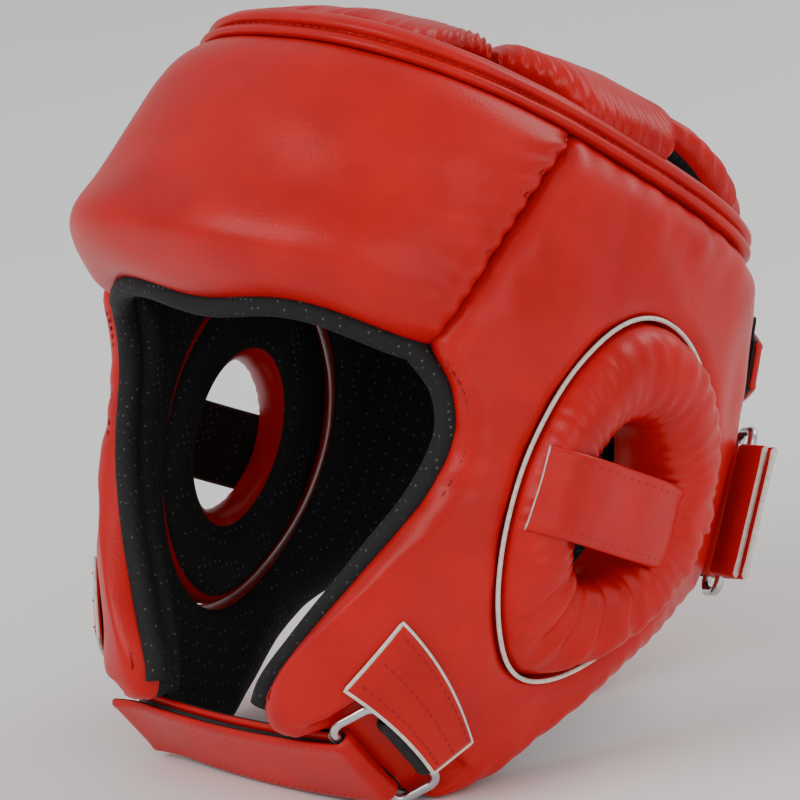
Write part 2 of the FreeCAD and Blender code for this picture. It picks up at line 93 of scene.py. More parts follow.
def top_edge(bearing):
    return 56.5 - 0.15 * shell(bearing, 60).y


def puff(distance, width):
    """How full a pad is at a distance from its edge, 0 at the edge to 1 past the width."""
    return math.sqrt(1 - (1 - min(max(distance / width, 0), 1)) ** 2)


def uneven(p, size_mm, height):
    return height * noise.noise(Vector(p) / size_mm)


def finish_mesh(name, bm, materials):
    """Turns a mesh into a shaded object at the origin."""
    bmesh.ops.recalc_face_normals(bm, faces=bm.faces)
    for face in bm.faces:
        face.smooth = True
    mesh = bpy.data.meshes.new(name)
    bm.to_mesh(mesh)
    bm.free()
    for material in materials:
        mesh.materials.append(material)
    piece = bpy.data.objects.new(name, mesh)
    bpy.context.scene.collection.objects.link(piece)
    return piece


def spread(t):
    """Packs grid lines towards both edges, where pads are rounded."""
    return 0.25 * t + 0.75 * (0.5 - 0.5 * math.cos(math.pi * t))


def pad(name, outer, inner, across, along, materials, closed=False):
    """A closed piece between two surfaces of (u, v); closed joins u = 1 to u = 0."""
    bm = bmesh.new()
    columns = across if closed else across + 1
    grids = []
    for surface in (outer, inner):
        grid = []
        for i in range(columns):
            u = i / across if closed else spread(i / across)
            grid.append([bm.verts.new(place(surface(u, spread(j / along)))) for j in range(along + 1)])
        grids.append(grid)
    for k, grid in enumerate(grids):
        for i in range(across):
            a, b = grid[i], grid[(i + 1) % columns]
            for j in range(along):
                bm.faces.new((a[j], b[j], b[j + 1], a[j + 1])).material_index = k
    top, under = grids
    for i in range(across):
        n = (i + 1) % columns
        bm.faces.new((top[i][0], top[n][0], under[n][0], under[i][0]))
        bm.faces.new((top[i][along], top[n][along], under[n][along], under[i][along]))
    if not closed:
        for i in (0, across):
            for j in range(along):
                bm.faces.new((top[i][j], top[i][j + 1], under[i][j + 1], under[i][j]))
    return finish_mesh(name, bm, materials)


def linear(hex_colour):
    """An sRGB hex colour as linear values."""
    values = [int(hex_colour[i:i + 2], 16) / 255 for i in (0, 2, 4)]
    return [v / 12.92 if v <= 0.04045 else ((v + 0.055) / 1.055) ** 2.4 for v in values] + [1]


def add(material, kind, inputs=None, **settings):
    """Adds a shader node; inputs are values or the sockets that feed them."""
    node = material.node_tree.nodes.new(kind)
    for key, value in settings.items():
        setattr(node, key, value)
    for key, value in (inputs or {}).items():
        if isinstance(value, bpy.types.NodeSocket):
            material.node_tree.links.new(value, node.inputs[key])
        else:
            node.inputs[key].default_value = value
    return node


def surfaced(name, dark, light, mottle_mm, pattern, pattern_mm, depth_mm, rough, **sockets):
    """A material with mottled colour and a fine relief of cells, noise or weave."""
    material = bpy.data.materials.new(name)
    material.use_nodes = True
    shader = material.node_tree.nodes["Principled BSDF"]
    where = add(material, "ShaderNodeTexCoord").outputs["Object"]
    mottle = add(material, "ShaderNodeTexNoise", {"Vector": where, "Scale": 1000 / mottle_mm, "Detail": 4})
    ramp = add(material, "ShaderNodeValToRGB", {"Fac": mottle.outputs["Fac"]})
    ramp.color_ramp.elements[0].position, ramp.color_ramp.elements[1].position = 0.3, 0.7
    ramp.color_ramp.elements[0].color, ramp.color_ramp.elements[1].color = linear(dark), linear(light)
    if pattern in ("cells", "dots"):
        fine = add(material, "ShaderNodeTexVoronoi", {"Vector": where, "Scale": 1000 / pattern_mm,
                                                      "Randomness": 0.15 if pattern == "dots" else 1.0})
        height = fine.outputs["Distance"]
        if pattern == "dots":
            material.node_tree.links.new(height, ramp.inputs["Fac"])
            ramp.color_ramp.elements[0].position, ramp.color_ramp.elements[1].position = 0.12, 0.2
    elif pattern == "weave":
        fine = add(material, "ShaderNodeTexWave", {"Vector": where, "Scale": 1000 / pattern_mm / 6.28,
                                                   "Distortion": 3.0, "Detail": 2})
        height = fine.outputs["Fac"]
    else:
        fine = add(material, "ShaderNodeTexNoise", {"Vector": where, "Scale": 1000 / pattern_mm,
                                                    "Detail": 3})
        height = fine.outputs["Fac"]
    bump = add(material, "ShaderNodeBump", {"Height": height, "Strength": 0.6, "Distance": depth_mm / 1000})
    sheen = add(material, "ShaderNodeMapRange", {"Value": mottle.outputs["Fac"],
                                                 "To Min": rough - 0.06, "To Max": rough + 0.08})
    links = material.node_tree.links
    links.new(ramp.outputs["Color"], shader.inputs["Base Color"])
    links.new(sheen.outputs["Result"], shader.inputs["Roughness"])
    links.new(bump.outputs["Normal"], shader.inputs["Normal"])
    for key, value in sockets.items():
        shader.inputs[key.replace("_", " ")].default_value = value
    return material


leatherette = surfaced("leatherette_red", "b40002", "cc0204", 26, "cells", 0.9, 0.09, 0.4,
                       Coat_Weight=0.05, Specular_IOR_Level=0.3)
spacer_mesh = surfaced("spacer_mesh_black", "4c4c50", "08080a", 1.6, "dots", 2.4, 0.5, 0.8)
raw_edge = surfaced("raw_backing_white", "cfc8bb", "ece7dd", 2.0, "noise", 0.5, 0.1, 0.85)
red_thread = surfaced("thread_dark_red", "8c0a10", "a8141a", 1.0, "weave", 0.4, 0.05, 0.6)


def declare(piece, body, slot, *nodes):
    """Lets a piece stand for its CAD nodes, on their body."""
    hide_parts(*nodes)
    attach(piece, body)


def stitches(name, path, count, length, material, raised=0.35, body="shell"):
    """Short lock stitches along a path, which gives head-frame mm for t from 0 to 1."""
    bm = bmesh.new()
    for i in range(count):
        here = place(path((i + 0.35) / count))
        ahead = place(path((i + 0.65) / count))
        axis = (ahead - here).normalized()
        turn = axis.to_track_quat("X", "Z").to_matrix().to_4x4()
        size = Matrix.Diagonal((length / 2000, raised / 1000, raised / 1000, 1))
        bmesh.ops.create_icosphere(bm, subdivisions=1, radius=1,
                                   matrix=Matrix.Translation((here + ahead) / 2) @ turn @ size)
    piece = finish_mesh(name, bm, [material])
    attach(piece, body)
    return piece


SEAM = [(-17, 53.5), (4, 58.7), (21, 62.9), (43, 69.6), (60, 76.8), (70, 80)]


def brow(reach):
    """The height of the opening's upper edge, from the middle 0 to a corner 1."""
    return -16 + 3.5 * math.sin(math.pi * reach) ** 2 - reach ** 4


PAD_DEPTH = 19.0
FOREHEAD_HEIGHT = 78


def forehead(u, v, outside):
    """The outside of the forehead panel, or its lining."""
    side = 2 * u - 1
    seam = smooth(SEAM, -15 + 75 * v, 1)
    bearing = side * seam
    low = brow(abs(side))
    z = low + v * (top_edge(bearing) - low)
    to_seam = (1 - abs(side)) * seam * 1.66
    seam_edge = 1 - puff(to_seam, 9)
    ends = 1 - puff(v * FOREHEAD_HEIGHT, 8) + 0.6 * (1 - puff((1 - v) * FOREHEAD_HEIGHT, 11))
    if not outside:
        return shell(bearing, z, -PAD_DEPTH + 8.5 * ends + 2 * seam_edge)
    p = Vector((bearing, z, 0))
    pucker = 1.1 * math.exp(-to_seam / 6) * math.sin(z * 0.85 + 2 * noise.noise(p / 11))
    ridge = 4.5 * (1 - side ** 4) * math.exp(-((z - 3) / 17) ** 2)
    fall = min(8.5 * ends, 9.3) + 4.5 * seam_edge
    return shell(bearing, z, -fall + uneven((bearing, z, 1), 17, 0.9) + pucker + ridge)


piece = pad("forehead_panel", lambda u, v: forehead(u, v, True), lambda u, v: forehead(u, v, False),
            150, 70, [leatherette, spacer_mesh])
declare(piece, "shell", "leatherette", "forehead_cover", "forehead_foam", "forehead_lining")
for sign, side in ((1, "left"), (-1, "right")):
    stitches("seam_stitches_" + side,
             lambda t, s=sign: shell(s * (smooth(SEAM, -12 + 70 * t, 1) - 1.6), -12 + 70 * t, -1.6),
             17, 2.6, red_thread)

# ---------------------------------------------------------------- side and cheek panels
# One foam pad on each side runs from the forehead seam round the ear to the back and down into
# the cheek lobe.  It has a large oval cut-out for the ear pad, and it is dented where the chin
# strap and its ring lie.
EAR_BEARING, EAR_Z = 102.5, -48.0
MM_PER_DEGREE = 1.66


def strap_axes():
    """The chin strap's own frame: along it, out of the head, and across its width."""
    along, out = Vector((-1, 0, 0)), Vector((0, -0.435, -0.9)).normalized()
    return Vector((50.3, -15.5, -145.0)), along, out, along.cross(out)


def rise(value, start, width):
    """From 0 at the start to 1 a width further on."""
    t = min(max((value - start) / width, 0), 1)
    return t * t * (3 - 2 * t)


def settle(p):
    """Presses a cheek in where the strap and its ring lie on it."""
    origin, along, out, wide = strap_axes()
    near = p - origin
    side = (1 - rise(abs(near.dot(wide)), 16, 5)) * rise(near.dot(along), -13, 7)
    p = p - out * max(near.dot(out) + 3.4, 0) * side
    near = p - origin
    turn = math.radians(225)
    ring_along = along * math.cos(turn) + out * math.sin(turn)
    ring_out = -along * math.sin(turn) + out * math.cos(turn)
    reach = near.dot(ring_along)
    side = (1 - rise(abs(near.dot(wide)), 22, 4)) * (1 - rise(reach, 22, 7)) * rise(reach, -15, 8)
    return p + ring_out * max(3.2 - near.dot(ring_out), 0) * side


def side_outline():
    """The corner points of a side panel as (bearing, height), going round once."""
    face = [(53.5, -16), (60, -26), (63.4, -38), (63.4, -49), (61, -64), (56.6, -78), (50.4, -95),
            (42, -113), (34.5, -127), (33, -135), (38, -141)]
    rim = [(-30, -146), (-15, -150), (0, -151.5), (16, -149), (30, -140), (42, -125), (53, -110), (65, -97),
           (78, -86), (90, -74), (104, -65)]
    back = [(170.5, -63), (171, -30), (171, 10), (171, 39)]
    crest = [(b, top_edge(b)) for b in range(160, 80, -8)]
    seam = [(b, z) for z, b in SEAM[4:0:-1]]
    return face + [(bearing_at(y, z), z) for y, z in rim] + back + crest + seam


def to_outline(angle, outline):
    """How far the outline lies from the ear's centre in one direction, in mm."""
    dx, dz = math.cos(angle), math.sin(angle)
    best = 0
    flat = [((b - EAR_BEARING) * MM_PER_DEGREE, z - EAR_Z) for b, z in outline]
    for (x0, z0), (x1, z1) in zip(flat, flat[1:] + flat[:1]):
        ex, ez = x1 - x0, z1 - z0
        det = ex * dz - ez * dx
        if abs(det) > 1e-9:
            r = (ex * z0 - ez * x0) / det
            t = (dx * z0 - dz * x0) / det
            if r > 0 and -1e-6 <= t <= 1 + 1e-6:
                best = max(best, r)
    return best


def ear_radius(angle, inset):
    """The ear oval's own reach in one direction; it leans back at the top."""
    angle = angle + math.radians(6)
    return 1 / math.hypot(math.cos(angle) / (41 - inset), math.sin(angle) / (59 - inset))


def around_ear(angle, reach, level):
    bearing = EAR_BEARING + reach * math.cos(angle) / MM_PER_DEGREE
    return shell(bearing, EAR_Z + reach * math.sin(angle), level)


outline = side_outline()
SPOKES = 260
rays = [to_outline(2 * math.pi * i / SPOKES, outline) for i in range(SPOKES)]
rays = [(rays[i - 1] + 2 * rays[i] + rays[(i + 1) % SPOKES]) / 4 for i in range(SPOKES)]


def side_panel(u, v, outside, sign):
    angle = 2 * math.pi * u
    far, near = rays[round(u * SPOKES) % SPOKES], ear_radius(angle, 0)
    reach = near + v * (far - near)
    edge, hole = 1 - puff((1 - v) * (far - near), 13), 1 - puff(v * (far - near), 8)
    if outside:
        p = around_ear(angle, reach, 0)
        gathers = 0.9 * math.exp(-(1 - v) * (far - near) / 7) * math.sin(angle * 47 + p.z * 0.2)
        wave = uneven(p, 19, 1.3) + gathers
        level = wave * (1 - edge) - min(8.5 * edge + 5 * hole, 9)
    else:
        level = -PAD_DEPTH + min(8.5 * edge + 3 * hole, 9)
    p = settle(around_ear(angle, reach, level))
    return Vector((sign * p.x, p.y, p.z))


for sign, side in ((1, "left"), (-1, "right")):
    piece = pad("side_panel_" + side, lambda u, v, s=sign: side_panel(u, v, True, s),
                lambda u, v, s=sign: side_panel(u, v, False, s),
                SPOKES, 44, [leatherette, spacer_mesh], True)
    declare(piece, "shell", "leatherette",
            "side_cover_" + side, "side_foam_" + side, "side_lining_" + side)

# ---------------------------------------------------------------- face opening binding
# The black mesh lining rolls out round the face opening as a narrow round edge, with a row of
# red stitches beside it.
FACE_EDGE = [(51.5, -18.5), (58.6, -27), (62.4, -38), (62.6, -49), (60.2, -64), (55.8, -78), (49.6, -95),
             (41.2, -113), (33.6, -127), (32.0, -134)]


def tube(name, path, radius, steps, sides, material, closed=False):
    """A round edge along a path, which gives head-frame mm for t from 0 to 1."""
    bm = bmesh.new()
    rings = []
    count = steps if closed else steps + 1
    for i in range(count):
        here = place(path(i / steps))
        tangent = (place(path((i + 0.5) / steps)) - place(path((i - 0.5) / steps))).normalized()
        out = Vector((here.x, here.y, 0)).normalized()
        wide = tangent.cross(out).normalized()
        out = wide.cross(tangent).normalized()
        turns = [2 * math.pi * k / sides for k in range(sides)]
        rings.append([bm.verts.new(here + (out * math.cos(a) + wide * math.sin(a)) * radius / 1000)
                      for a in turns])
    for i in range(steps):
        a, b = rings[i], rings[(i + 1) % count]
        for k in range(sides):
            bm.faces.new((a[k], b[k], b[(k + 1) % sides], a[(k + 1) % sides]))
    if not closed:
        bm.faces.new(rings[0])
        bm.faces.new(rings[-1])
    return finish_mesh(name, bm, [material])


def face_edge(t):
    """Along the opening's edge from the wearer's right cheek over the brow to the left one."""
    reach = abs(2 * t - 1)
    sign = 1 if t > 0.5 else -1
    if reach < 0.36:
        return sign * 51.5 * reach / 0.36, brow(reach / 0.36) - 1.5
    place_on = min((reach - 0.36) / 0.64, 1) * (len(FACE_EDGE) - 1)
    keys = [(k, *corner) for k, corner in enumerate(FACE_EDGE)]
    return sign * smooth(keys, place_on, 1), smooth(keys, place_on, 2)


def binding_path(t):
    bearing, z = face_edge(min(max(t, 0), 1))
    return shell(bearing, z, -9.5)


piece = tube("opening_roll", binding_path, 4.0, 220, 14, spacer_mesh)
declare(piece, "shell", "mesh_lining", "opening_binding")


def edge_stitch_path(t):
    bearing, z = face_edge(t)
    return shell(bearing + (3.0 if bearing > 0 else -3.0), z, -2.6)


for side, start in (("left", 0.69), ("right", 0.01)):
    stitches("cheek_edge_stitches_" + side, lambda t, s=start: edge_stitch_path(s + 0.3 * t),
             36, 2.4, red_thread)

# ---------------------------------------------------------------- top band
# A strip folded into two ridges is stitched in its groove all round the top of the panels; its
# upper ridge is the thicker one.
BAND = [(-12, 0.4), (-7, 0.0), (-3.4, 0.4), (-1.8, 1.6), (-1.5, 2.8), (-2.2, 3.9), (-4.0, 4.7), (-2.1, 5.5),
        (-0.8, 6.6), (-0.6, 8.0), (-1.8, 9.8), (-4.5, 10.6), (-8.5, 10.4), (-12, 9.0)]
bm = bmesh.new()
STEPS = 300
rings = []
for i in range(STEPS):
    bearing = 360 * i / STEPS
    turn = math.radians(bearing)
    swell = 1 + 0.25 * noise.noise(Vector((math.sin(turn), math.cos(turn), 0)) * 5)
    rings.append([bm.verts.new(place(shell(bearing, top_edge(bearing) + dz, level * swell)))
                  for level, dz in BAND])
for i in range(STEPS):
    a, b = rings[i], rings[(i + 1) % STEPS]
    for k in range(len(BAND)):
        n = (k + 1) % len(BAND)
        bm.faces.new((a[k], b[k], b[n], a[n]))
bmesh.ops.subdivide_edges(bm, edges=[e for e in bm.edges], cuts=1, smooth=0.8, use_grid_fill=True)
piece = finish_mesh("top_band_strip", bm, [leatherette])
declare(piece, "shell", "leatherette", "top_band")
stitches("band_stitches", lambda t: shell(360 * t, top_edge(360 * t) + 4.7, -3.5), 130, 2.2, red_thread)

# ---------------------------------------------------------------- crown pads
# Four puffed pads close the crown round a small round patch.  They lie behind the band, gather
# beside it, and leave a dark lens-shaped vent at each of their four seams.
# distance from the top, height, half width, depth forward, depth back
DOME = [(0, 92.2, 0.1, 0.1, 0.1), (30, 91.2, 30, 36, 34), (50, 88, 50, 59, 58), (67, 82, 66, 75, 79),
        (82, 72.5, 77, 87, 93), (96, 60, 83, 93, 102), (112, 45, 86, 97, 105), (127, 30, 86, 98, 105)]
GAPS = (56, 128, 232, 304)


def dome(bearing, distance, level):
    turn = math.radians(bearing)
    s, c = math.sin(turn), math.cos(turn)
    tilt = math.radians(min(distance / 105, 1) * 80)
    a = smooth(DOME, distance, 2) + level * math.sin(tilt)
    b = smooth(DOME, distance, 3 if c > 0 else 4) + level * math.sin(tilt)
    power = 2.3 if c > 0 else 2.6
    r = (abs(s / max(a, 0.05)) ** power + abs(c / max(b, 0.05)) ** power) ** (-1 / power)
    return Vector((r * s, 6 - r * c, smooth(DOME, distance, 1) - 3.5 + level * math.cos(tilt)))


def pad_end(bearing):
    """How far from the top a crown pad reaches: to the band, or to the rim of a vent."""
    low, high = 60, 120
    for _ in range(16):
        middle = (low + high) / 2
        p = dome(bearing, middle, 0)
        low, high = (middle, high) if p.z > 66.5 - 0.15 * p.y else (low, middle)
    away = min(abs((bearing - g + 180) % 360 - 180) for g in GAPS)
    lens = 33 * math.cos(min(away / 25, 1) * math.pi / 2) ** 1.2
    return low + 2 - lens


def crown_pad(u, v, start, end, outside):
    bearing = start + u * (end - start)
    far = pad_end(bearing)
    distance = 15.5 + v * (far - 15.5)
    across = min(u, 1 - u) * (end - start) * math.pi / 180 * max(smooth(DOME, distance, 2), 1)
    rim, seam = (1 - v) * (far - 15.5), min(across, 60)
    if not outside:
        return dome(bearing, distance, -14 + 5 * (1 - puff(rim, 8)) + 4 * (1 - puff(seam, 8)))
    wander = 2 * noise.noise(Vector((bearing / 9, v, 0)))
    gathers = 1.5 * math.exp(-rim / 12) * math.sin(bearing * 1.9 + wander)
    fall = 6.5 * (1 - puff(rim, 11)) + 5 * (1 - puff(seam, 9)) + 3 * (1 - puff(v * (far - 15.5), 5))
    fullness = 1.5 * math.sin(math.pi * u) * math.sin(math.pi * v)
    level = fullness + gathers * puff(rim, 5) + uneven((bearing, distance, 3), 14, 0.8) - min(fall, 9)
    return dome(bearing, distance, level)


CROWN_PADS = {"front": (-56, 56), "left": (56, 128), "rear": (128, 232), "right": (232, 304)}
for side, (start, end) in CROWN_PADS.items():
    piece = pad("crown_pad_" + side, lambda u, v, a=start, b=end: crown_pad(u, v, a, b, True),
                lambda u, v, a=start, b=end: crown_pad(u, v, a, b, False),
                110, 50, [leatherette, spacer_mesh])
    declare(piece, "shell", "leatherette", "crown_%s_cover" % side, "crown_%s_foam" % side)
piece = pad("crown_button", lambda u, v: dome(360 * u, 0.4 + 15 * v, 0.8 - 3 * (1 - puff((1 - v) * 15, 5))),
            lambda u, v: dome(360 * u, 0.4 + 15 * v, -7), 60, 12, [leatherette, spacer_mesh], True)
declare(piece, "shell", "leatherette", "crown_patch")

# ---------------------------------------------------------------- ear pads
# A stuffed ring of leatherette sits in each ear cut-out and bulges out of it.  Its two ends meet
# in crumpled folds at the bottom, and the cut-out shows a thin pale raw edge round it.
FOLDS = [(-90, 6, 5.5), (-77, 4, 2.6), (-105, 4, 3.0), (-62, 3, 1.4), (-121, 3, 1.6), (-96, 2, 1.8)]


def ear_ring(angle, turn, sign):
    degrees = math.degrees(angle)
    fold = sum(depth * math.exp(-(((degrees - at + 180) % 360 - 180) / width) ** 2)
               for at, width, depth in FOLDS)
    cos_t, sin_t = math.cos(turn), math.sin(turn)
    inset = 14.2 - math.copysign(abs(cos_t) ** 0.85, cos_t) * 13.6
    level = -5.5 + math.copysign(abs(sin_t) ** 0.85, sin_t) * 14.2
    if sin_t > 0:
        wander = 3 * noise.noise(Vector((degrees / 12, turn, 0)))
        gather = 0.8 * math.sin(degrees * 0.75 + wander) * abs(cos_t)
        level += (gather + uneven((degrees / 2, turn * 12, sign), 9, 1.4) - fold) * sin_t
    p = around_ear(angle, ear_radius(angle, 0.4) * (1 - inset / 50), level)
    return Vector((sign * p.x, p.y, p.z))


for sign, side in ((1, "left"), (-1, "right")):
    bm = bmesh.new()
    ROUND, SECTION = 260, 44
    grid = [[bm.verts.new(place(ear_ring(2 * math.pi * i / ROUND, 2 * math.pi * j / SECTION, sign)))
             for j in range(SECTION)] for i in range(ROUND)]
    for i in range(ROUND):
        a, b = grid[i], grid[(i + 1) % ROUND]
        for j in range(SECTION):
            n = (j + 1) % SECTION
            face = bm.faces.new((a[j], b[j], b[n], a[n]))
            face.material_index = 1 if j > SECTION * 0.62 and j < SECTION * 0.88 else 0
    piece = finish_mesh("ear_ring_" + side, bm, [leatherette, spacer_mesh])
    declare(piece, "shell", "leatherette",
            "ear_pad_cover_" + side, "ear_pad_foam_" + side, "ear_pad_lining_" + side)

    def raw_path(t, s=sign):
        angle = 2 * math.pi * t
        p = around_ear(angle, ear_radius(angle, 0) + 0.6, -0.6)
        return Vector((s * p.x, p.y, p.z))

    piece = tube("ear_raw_edge_" + side, raw_path, 0.75, 240, 8, raw_edge, True)
    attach(piece, "shell")

# ---------------------------------------------------------------- ear straps
# A wide leatherette strap with folded, stitched long edges crosses each ear pad.  Its front end
# shows a white raw edge, and its rear end is tucked behind the pad.


def strap(name, frame_at, path, half_width, thickness, materials, across=14, tip=0.0):
    """A flat strap along a path of (along, height) points, its folded edges a little fuller."""
    bm = bmesh.new()
    uppers, lowers = [], []
    for i, (l, h) in enumerate(path):
        before, after = path[max(i - 1, 0)], path[min(i + 1, len(path) - 1)]
        slope = Vector((after[0] - before[0], after[1] - before[1])).normalized()
        normal = Vector((-slope.y, slope.x))
        to_end = (len(path) - 1 - i) / (len(path) - 1)
        half = half_width * (1 - tip * max(0, 1 - to_end / 0.3) ** 2)
        upper, lower = [], []
        for k in range(across + 1):
            w = spread(k / across) * 2 - 1
            rim = (1 - abs(w)) * half_width
            full = thickness / 2 * puff(rim + 0.05, 1.2) * (1 + 0.3 * math.exp(-((rim - 2) / 1.6) ** 2))
            for side, row in ((1, upper), (-1, lower)):
                shift = normal * full * side
                row.append(bm.verts.new(place(frame_at(l + shift.x, h + shift.y, w * half))))
        uppers.append(upper)
        lowers.append(lower)
    for a, b, c, d in zip(uppers, uppers[1:], lowers, lowers[1:]):
        for k in range(across):
            bm.faces.new((a[k], b[k], b[k + 1], a[k + 1]))
            bm.faces.new((c[k], d[k], d[k + 1], c[k + 1])).material_index = 1
        bm.faces.new((a[0], b[0], d[0], c[0]))
        bm.faces.new((a[across], b[across], d[across], c[across]))
    for a, c in ((uppers[0], lowers[0]), (uppers[-1], lowers[-1])):
        for k in range(across):
            bm.faces.new((a[k], a[k + 1], c[k + 1], c[k])).material_index = 2
    return finish_mesh(name, bm, materials)


EAR_PATH = [(-17.5, 5.6), (-14, 7.0), (-10, 9.2), (-5, 10.2), (2, 10.0), (9, 9.0), (18, 8.2), (27, 7.4),
            (36, 6.2), (44, 4.2), (50, 0.8), (57, -4.5)]


def fine(path, steps):
    """The same path with rounded corners and more points."""
    keys = [(i, *p) for i, p in enumerate(path)]
    last = len(path) - 1
    return [(smooth(keys, last * i / steps, 1), smooth(keys, last * i / steps, 2))
            for i in range(steps + 1)]


for sign, side in ((1, "left"), (-1, "right")):
    def over_ear(l, h, w, s=sign):
        z = -50.5 + w
        p = shell(bearing_at(l, z), z, h + uneven((l, w, s), 12, 0.5))
        return Vector((s * p.x, p.y, p.z))

    piece = strap("ear_strap_leather_" + side, over_ear, fine(EAR_PATH, 70), 13.5, 2.4,
                  [leatherette, spacer_mesh, raw_edge])
    declare(piece, "shell", "leatherette", "ear_strap_" + side)
    for edge, w in (("upper", 10.6), ("lower", -10.6)):
        def ear_stitch(t, f=over_ear, w=w):
            l = -15 + 60 * t
            return f(l, smooth(EAR_PATH, l, 1) + 1.3, w)

        stitches("ear_strap_%s_stitches_%s" % (edge, side), ear_stitch, 16, 2.2, red_thread)

# ---------------------------------------------------------------- neck tongue and neck roll
# A padded black mesh tongue closes the gap between the two halves at the nape, and a short red
# roll under it carries the headgear when it stands.


def nape(u, v, half, top, bottom, level, depth):
    bearing = 180 + (2 * u - 1) * half
    z = top + v * (bottom - top)
    ends = 2 - puff(min(u, 1 - u) * 4 * half, 7) - puff(min(v, 1 - v) * (top - bottom), 7)
    fall = depth * min(ends, 1)
    return shell(bearing, z, level - fall)


piece = pad("neck_tongue_pad", lambda u, v: nape(u, v, 14.5, 34, -111, -19.4, 5),
            lambda u, v: nape(u, v, 14.5, 34, -111, -30.3, -5), 40, 70, [spacer_mesh, spacer_mesh])
declare(piece, "shell", "mesh_lining", "neck_tongue")
piece = pad("neck_roll_pad", lambda u, v: nape(u, v, 15.0, -67, -111.5, -4, 7),
            lambda u, v: nape(u, v, 15.0, -67, -111.5, -19, -7), 50, 30, [leatherette, spacer_mesh])
declare(piece, "shell", "leatherette", "neck_roll")

# ---------------------------------------------------------------- chin strap
# A leatherette strap runs under the chin from the wearer's right cheek, through a slotted ring
# and back over itself.  Black hook-and-loop tape holds the two layers together, and the free end
# is slightly peeled and frayed.
velour = surfaced("velour_tape_black", "08080a", "1a1a1d", 2.4, "noise", 0.35, 0.35, 0.9, Sheen_Weight=0.4)
webbing = surfaced("webbing_black", "0c0c0e", "202024", 1.4, "weave", 1.1, 0.25, 0.75)
nickel = surfaced("nickel_plated_wire", "b9b9bc", "dcdcde", 9, "noise", 3.0, 0.02, 0.2, Metallic=1.0)
tape_hook = surfaced("hook_tape_black", "0a0a0b", "242428", 0.9, "cells", 0.8, 0.35, 0.7)


def chin(l, h, w):
    origin, along, out, wide = strap_axes()
    return origin + along * l + out * h + wide * w


def bow(l):
    return 3.0 * (1 - ((l - 52) / 52) ** 2)


def bowed(start, end, level, steps=40):
    points = [start + (end - start) * i / steps for i in range(steps + 1)]
    return [(l, level + bow(l)) for l in points]


piece = strap("chin_strap_lower", chin, bowed(5, 99, -1.35), 15, 2.1, [leatherette, webbing, raw_edge])
declare(piece, "shell", "leatherette", "chin_strap_run")
piece = strap("chin_strap_loop_tape", chin, bowed(10, 94, 0.12), 12.6, 0.75, [velour, velour, velour])
declare(piece, "shell", "hook_and_loop", "chin_loop_tape")


def round_bar(l, h, turns):
    """The path of webbing round a ring bar, at each of the turns in degrees."""
    reach = 2.8
    return [(l + reach * math.cos(math.radians(a)), h + reach * math.sin(math.radians(a))) for a in turns]


wrap = round_bar(0, 0, range(290, 96, -12))
peel = [(l, h + 2.2 * max(0, (l - 86) / 18) ** 2) for l, h in bowed(2, 104, 2.8, 60)]
piece = strap("chin_strap_flap", chin, wrap + peel, 15, 2.1, [leatherette, webbing, raw_edge], tip=0.08)
declare(piece, "chin_flap", "leatherette", "chin_flap")
piece = strap("chin_strap_hook_tape", chin, bowed(10, 94, 1.3), 12.6, 0.7,
              [tape_hook, tape_hook, tape_hook])
declare(piece, "chin_flap", "hook_and_loop", "chin_hook_tape")
for edge, w in (("front", -12.4), ("back", 12.4)):
    stitches("chin_flap_stitches_" + edge,
             lambda t, w=w: chin(6 + 90 * t, 3.95 + bow(6 + 90 * t), w), 28, 2.2,
             red_thread, body="chin_flap")
bm = bmesh.new()
for i in range(46):
    w = -12.5 + 25 * i / 45
    lean = 1.4 * noise.noise(Vector((i * 1.7, 0, 0)))
    tips = [chin(103.4, 3.9 + 0.2 * lean, w), chin(103.4, 3.9 + 0.2 * lean, w + 0.45),
            chin(106.3 + lean, 3.4 + lean, w + 0.3 + lean)]
    bm.faces.new([bm.verts.new(place(p)) for p in tips])
piece = finish_mesh("chin_flap_fray", bm, [velour])
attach(piece, "chin_flap")
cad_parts["chin_ring"].data.materials[0] = nickel
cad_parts["rear_ring"].data.materials[0] = nickel

# ---------------------------------------------------------------- chin tab, patch and ring loop
# A tab with three rows of stitches and raw white edges is sewn to the left cheek above the ring;
# the strap's sewn end lies under the same patch on the right.  Black webbing loops the ring.
TAB = [(-35, -100), (5, -130), (-3, -142), (-38, -124)]


def on_tab(u, v, level, sign):
    (ay, az), (by, bz), (cy, cz), (dy, dz) = TAB
    y = (1 - v) * ((1 - u) * ay + u * by) + v * ((1 - u) * dy + u * cy)
    z = (1 - v) * ((1 - u) * az + u * bz) + v * ((1 - u) * dz + u * cz)
    p = shell(bearing_at(y, z), z, level)
    return Vector((sign * p.x, p.y, p.z))


for sign, name, node in ((1, "chin_tab_leather", "chin_tab_left"),
                         (-1, "chin_patch_leather", "chin_patch_right")):
    piece = pad(name,
                lambda u, v, s=sign: on_tab(u, v, 1.2 + 1.3 * puff(min(u, 1 - u, v, 1 - v) * 24, 2), s),
                lambda u, v, s=sign: on_tab(u, v, 0.2, s), 40, 24, [leatherette, webbing])
    declare(piece, "shell", "leatherette", node)
    for row, v in (("a", 0.12), ("b", 0.5), ("c", 0.86)):
        stitches("%s_stitches_%s" % (name, row),
                 lambda t, v=v, s=sign: on_tab(0.04 + 0.92 * t, v, 2.6, s), 15, 2.0, red_thread, 0.3)
    rim = [(0, 0), (1, 0), (1, 1), (0, 1)]

    def tab_rim(t, s=sign, corners=rim):
        k = int(4 * t % 4)
        (u0, v0), (u1, v1) = corners[k], corners[(k + 1) % 4]
        f = 4 * t % 1
        return on_tab(u0 + f * (u1 - u0), v0 + f * (v1 - v0), 1.4, s)

    piece = tube(name + "_raw_edge", tab_rim, 0.7, 100, 6, raw_edge, True)
    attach(piece, "shell")


